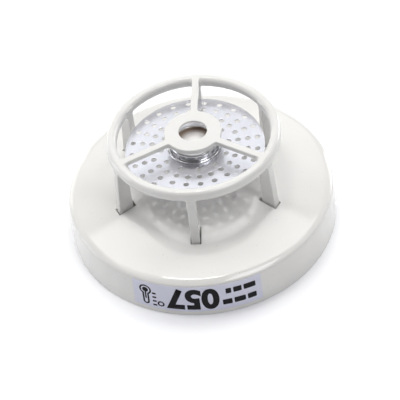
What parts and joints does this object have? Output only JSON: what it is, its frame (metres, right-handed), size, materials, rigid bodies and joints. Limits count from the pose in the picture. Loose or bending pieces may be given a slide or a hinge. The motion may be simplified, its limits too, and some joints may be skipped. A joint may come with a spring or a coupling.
{
  "type": "heat detector",
  "caption": "Round ceiling heat detector head: gloss moulded cover, raised guard cage, perforated heat collector disc and an inner snap-disc switch.",
  "frame": {"origin": "centre of the rear rim, in the plane that meets the ceiling base", "axes": "+Z out of the sensing face, into the room; -Y towards the rating label and the front guard leg"},
  "size_m": [0.1, 0.1, 0.0413],
  "materials": {
    "cover_plastic": "gloss, moulded",
    "guard_plastic": "gloss, moulded",
    "collector_aluminium": "satin, rolled sheet",
    "cap_metal": "drawn, plated, satin",
    "clamp_metal": "bright",
    "keeper_metal": "satin",
    "snap_disc_metal": "matte, lacquered",
    "moulded_phenolic": "matte",
    "pin_ceramic": "matte",
    "seal_rubber": "matte",
    "spring_steel": "satin",
    "terminal_brass": "satin, tinned edges",
    "arm_bronze": "satin",
    "contact_silver": "satin",
    "rivet_metal": "satin",
    "chassis_plastic": "fine spark texture",
    "screw_steel": "zinc plated",
    "label_paper": "satin film",
    "label_ink": "printed ink on the label"
  },
  "bodies": {
    "head": {"cover": "cover_plastic", "guard_cage": "guard_plastic", "rating_label": "label_paper", "collector_disc": "collector_aluminium", "collector_washer": "moulded_phenolic", "clamp_ring": "clamp_metal", "thermostat_cap": "cap_metal", "disc_keeper_ring": "keeper_metal", "pin_guide": "moulded_phenolic", "thermostat_base": "moulded_phenolic", "neck_seal": "seal_rubber", "thermostat_clip": "spring_steel", "arm_terminal": "terminal_brass", "fixed_terminal": "terminal_brass", "fixed_contact": "contact_silver", "arm_rivet": "rivet_metal", "fixed_terminal_rivet": "rivet_metal", "chassis_plate": "chassis_plastic", "chassis_screws": "screw_steel", "terminal_blade_1": "terminal_brass", "terminal_blade_2": "terminal_brass", "terminal_blade_3": "terminal_brass", "terminal_blade_4": "terminal_brass", "terminal_rivets": "rivet_metal", "busbar_right": "terminal_brass", "busbar_left": "terminal_brass"},
    "snap_disc": {"bimetal_disc": "snap_disc_metal"},
    "push_pin": {"transfer_pin": "pin_ceramic"},
    "switch_arm": {"contact_arm": "arm_bronze", "moving_contact": "contact_silver"}
  },
  "joints": [
    {"name": "disc_snap", "type": "slide", "parent": "head", "child": "snap_disc", "axis": [0, 0, -1], "range_m": [0, 0.0006], "stiffness_N_per_m": 400},
    {"name": "pin_push", "type": "slide", "parent": "head", "child": "push_pin", "axis": [0, 0, -1], "range_m": [0, 0.0006], "stiffness_N_per_m": 100},
    {"name": "contact_close", "type": "hinge", "parent": "head", "child": "switch_arm", "pos_m": [-0.0048, 0, 0.02903], "axis": [0, 1, 0], "range_deg": [0, 7.17], "stiffness_Nm_per_rad": 0.01}
  ],
  "couplings": [
    {"joint": "pin_push", "follows": "disc_snap", "ratio": 1},
    {"joint": "contact_close", "follows": "disc_snap", "rad_per_m": 208.33}
  ]
}
